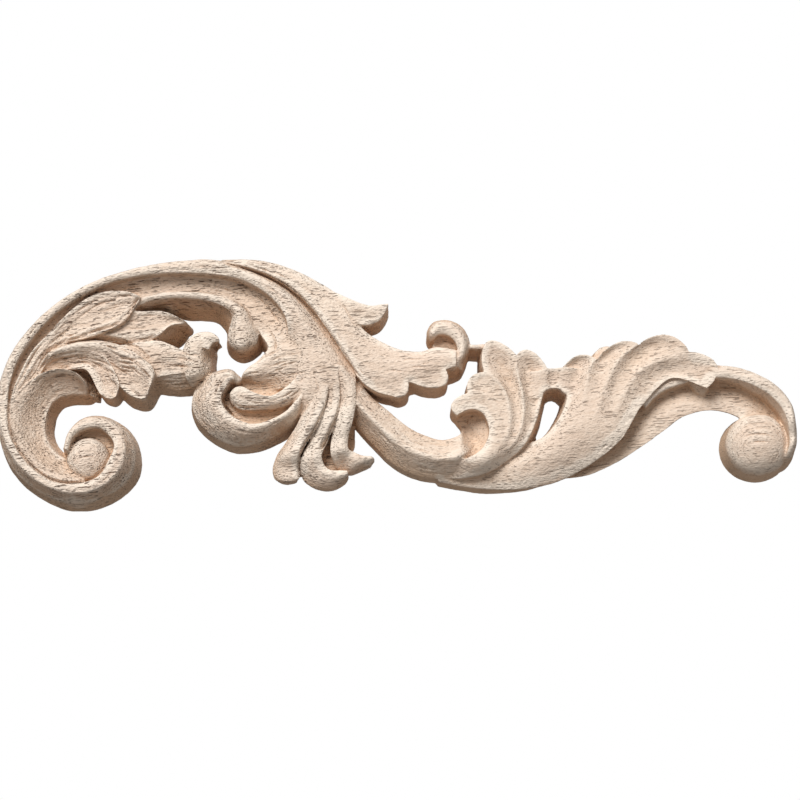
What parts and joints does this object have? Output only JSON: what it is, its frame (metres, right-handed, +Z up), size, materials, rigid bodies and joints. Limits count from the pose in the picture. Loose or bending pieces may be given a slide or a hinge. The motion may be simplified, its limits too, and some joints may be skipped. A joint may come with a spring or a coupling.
{
  "type": "carved wood applique",
  "caption": "Pierced scroll applique carved in pale bare wood: acanthus leaves, volutes with round eyes, fluted shells and a drooping tassel on a flat back made to be glued on.",
  "frame": {"origin": "on the flat glued back, behind the long leaf near the middle of the length", "axes": "+X along the length, to the right as seen from the front; +Z up; the carved front faces -Y and the flat back lies in the plane Y = 0"},
  "size_m": [0.1982, 0.0146, 0.0629],
  "materials": {
    "wood": "bare carved wood with open pores, neither stained nor varnished"
  },
  "bodies": {
    "root": {"carved_applique": "wood"}
  },
  "joints": []
}
